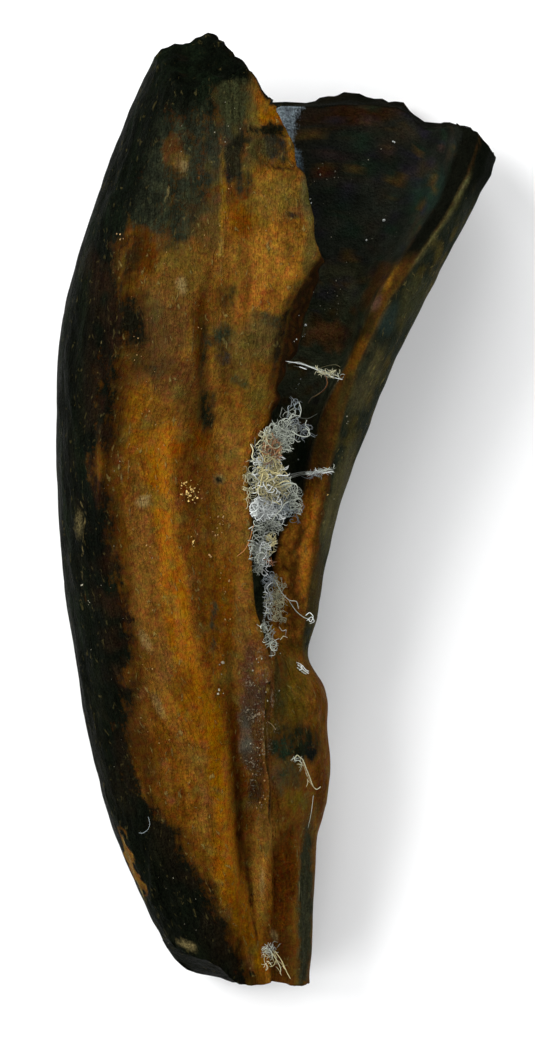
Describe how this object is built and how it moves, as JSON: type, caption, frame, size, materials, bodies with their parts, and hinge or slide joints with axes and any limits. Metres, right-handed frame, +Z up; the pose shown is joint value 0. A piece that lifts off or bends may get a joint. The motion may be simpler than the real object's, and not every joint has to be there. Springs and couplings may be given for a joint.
{
  "type": "fossil raptor tooth",
  "caption": "Broken fossil tooth of a small raptor, hollow and split along one side, lying down with lint caught in its crack.",
  "frame": {"origin": "middle of the box, on the surface that the tooth rests on", "axes": "+Y from the broken tip to the broken base, +X from the smooth curved edge to the cracked side, +Z up out of the face that shows"},
  "size_m": [0.0084, 0.018, 0.0048],
  "materials": {
    "fossil_enamel": "semi-gloss mineralised enamel, amber brown with black-green stain",
    "lint": "loose matte fibres"
  },
  "bodies": {
    "root": {"tooth": "fossil_enamel", "lint_wad": "lint", "lint_bridge": "lint", "lint_arm": "lint", "side_fluff": "lint", "tip_fluff": "lint"}
  },
  "joints": []
}
